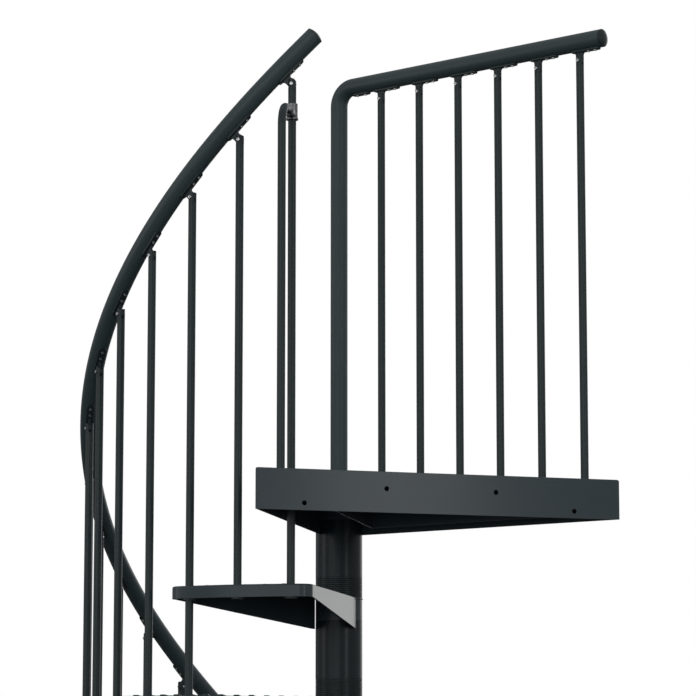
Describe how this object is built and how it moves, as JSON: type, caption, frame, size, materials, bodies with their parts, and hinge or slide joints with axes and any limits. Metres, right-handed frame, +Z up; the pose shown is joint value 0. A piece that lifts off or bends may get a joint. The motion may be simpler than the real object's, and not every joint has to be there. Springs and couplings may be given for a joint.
{
  "type": "spiral staircase",
  "caption": "Powder-coated steel spiral staircase with folded sheet treads on a stacked column, tube balusters, a helical handrail and a triangular landing",
  "frame": {"origin": "middle of the underside of the base flange, on the lower floor", "axes": "+Z is up along the column. The landing's front apron is parallel to X and faces -Y, toward the upper floor. The stair climbs anticlockwise seen from above."},
  "size_m": [1.2006, 1.2639, 3.762],
  "materials": {
    "anthracite_powder_coat": "satin powder coat",
    "black_plastic": "moulded, fine matt",
    "zinc_plated_steel": "bright zinc plated",
    "cast_zinc": "die cast, matt"
  },
  "bodies": {
    "root": {"base_flange": "anthracite_powder_coat", "centre_pole": "anthracite_powder_coat", "spacer_tubes": "anthracite_powder_coat", "tread_01": "anthracite_powder_coat", "tread_02": "anthracite_powder_coat", "tread_03": "anthracite_powder_coat", "tread_04": "anthracite_powder_coat", "tread_05": "anthracite_powder_coat", "tread_06": "anthracite_powder_coat", "tread_07": "anthracite_powder_coat", "tread_08": "anthracite_powder_coat", "tread_09": "anthracite_powder_coat", "tread_10": "anthracite_powder_coat", "tread_11": "anthracite_powder_coat", "link_balusters": "anthracite_powder_coat", "middle_balusters": "anthracite_powder_coat", "foot_plate": "anthracite_powder_coat", "stair_handrail": "anthracite_powder_coat", "stair_brackets": "anthracite_powder_coat", "landing_deck": "anthracite_powder_coat", "landing_apron": "anthracite_powder_coat", "landing_brace": "anthracite_powder_coat", "landing_post_flange": "anthracite_powder_coat", "landing_rail": "anthracite_powder_coat", "landing_balusters": "anthracite_powder_coat", "landing_brackets": "anthracite_powder_coat", "elbow_plate": "anthracite_powder_coat", "end_baluster": "anthracite_powder_coat", "spacer_rings": "black_plastic", "stair_forks": "black_plastic", "landing_forks": "black_plastic", "rail_end_caps": "black_plastic", "stair_pivot_screws": "zinc_plated_steel", "landing_pivot_screws": "zinc_plated_steel", "end_baluster_clamp": "cast_zinc"}
  },
  "joints": []
}
